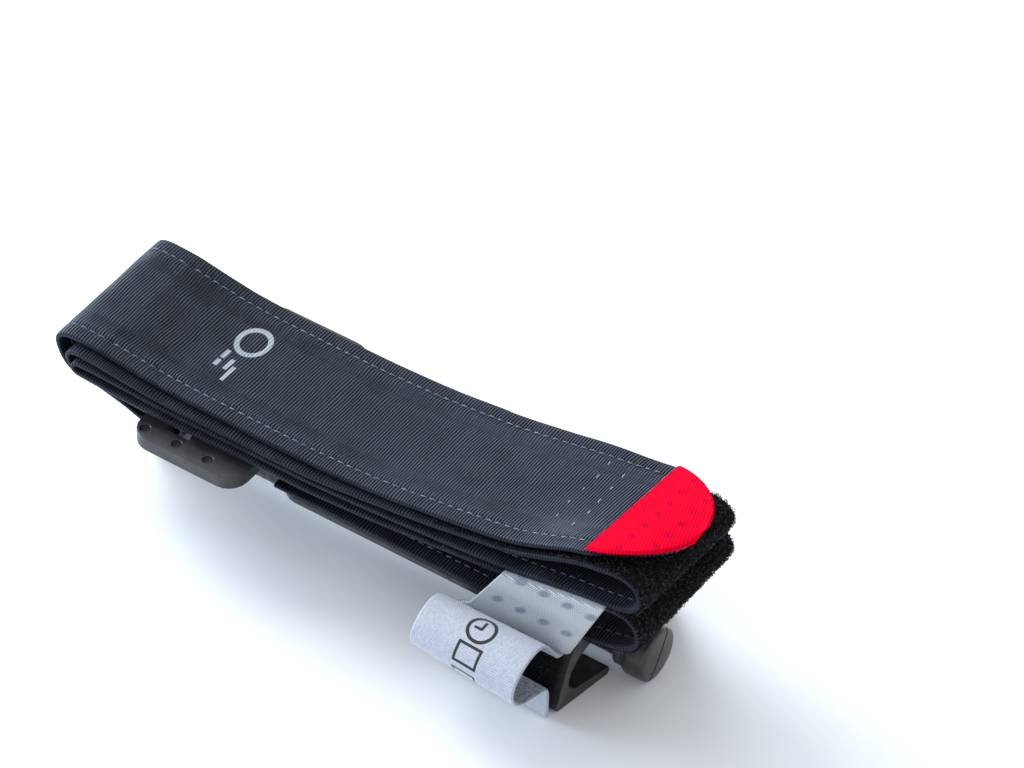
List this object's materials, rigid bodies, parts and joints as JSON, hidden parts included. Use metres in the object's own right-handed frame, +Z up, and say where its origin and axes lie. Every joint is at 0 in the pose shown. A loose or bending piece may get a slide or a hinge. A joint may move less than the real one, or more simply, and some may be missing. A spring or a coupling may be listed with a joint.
{
  "type": "tourniquet",
  "caption": "Limb tourniquet folded flat for carrying: a ribbed band threaded through a routing buckle, with a windlass rod held in a clip, a closing strap and a red tail tip.",
  "frame": {"origin": "on the ground, under the middle of the folded tourniquet's bounding box; the windlass side faces down", "axes": "+X runs along the windlass rod towards the clip and the red tip; +Y runs across the band, away from the rolled-out closing strap; +Z is up"},
  "size_m": [0.1639, 0.067, 0.0516],
  "materials": {
    "band_fabric": "ribbed nylon webbing, near-black navy grey, slight sheen",
    "black_plastic": "moulded, soft sheen",
    "hook_tape": "hook and loop pile, matt",
    "red_fabric": "smooth woven tape, vivid red",
    "grey_strap": "light bluish grey brushed knit with a dotted side"
  },
  "bodies": {
    "base": {"stabilization_plate": "black_plastic", "windlass_clip": "black_plastic", "hook_patch_far": "hook_tape", "hook_patch_near": "hook_tape", "lower_ring_band": "band_fabric", "inner_fold_band": "band_fabric", "outer_fold_band": "band_fabric", "tail_fold_band": "band_fabric", "lower_tail_band": "band_fabric", "lead_band": "band_fabric", "anchor_loop": "band_fabric", "closing_strap_tuck": "grey_strap", "inner_strap": "band_fabric"},
    "upper_fold": {"upper_ring_band": "band_fabric", "upper_tail_band": "band_fabric"},
    "tail_end": {"tail_end_band": "band_fabric", "red_tip": "red_fabric", "tail_hook_tape": "hook_tape"},
    "buckle": {"routing_buckle": "black_plastic", "buckle_turn_band": "band_fabric"},
    "riser": {"riser_strap": "band_fabric"},
    "windlass": {"windlass_rod": "black_plastic", "slot_loop": "band_fabric"},
    "strap": {"closing_strap": "grey_strap"}
  },
  "joints": [
    {"name": "pack_unfold", "type": "hinge", "parent": "base", "child": "upper_fold", "pos_m": [-0.0741, 0.0062, 0.0317], "axis": [0, -1, 0], "range_deg": [0, 170], "deforming": ["inner_fold_band", "outer_fold_band", "tail_fold_band"]},
    {"name": "tail_peel", "type": "hinge", "parent": "upper_fold", "child": "tail_end", "pos_m": [0.0181, 0.0062, 0.03775], "axis": [0, -1, 0], "range_deg": [0, 70]},
    {"name": "buckle_tilt", "type": "hinge", "parent": "base", "child": "buckle", "pos_m": [-0.02715, 0.0062, 0.0248], "axis": [0, -1, 0], "range_deg": [0, 7], "stiffness_Nm_per_rad": 0.05},
    {"name": "windlass_lift", "type": "slide", "parent": "base", "child": "riser", "axis": [0, 0, -1], "range_m": [0, 0.0125]},
    {"name": "windlass_turn", "type": "hinge", "parent": "riser", "child": "windlass", "pos_m": [0.0021, 0.0062, 0.0067], "axis": [0, 0, 1], "range_deg": [-10, 10]},
    {"name": "closing_strap_open", "type": "hinge", "parent": "base", "child": "strap", "pos_m": [0.0021, -0.0124, 0.0159], "axis": [-1, 0, 0], "range_deg": [0, 25]}
  ]
}
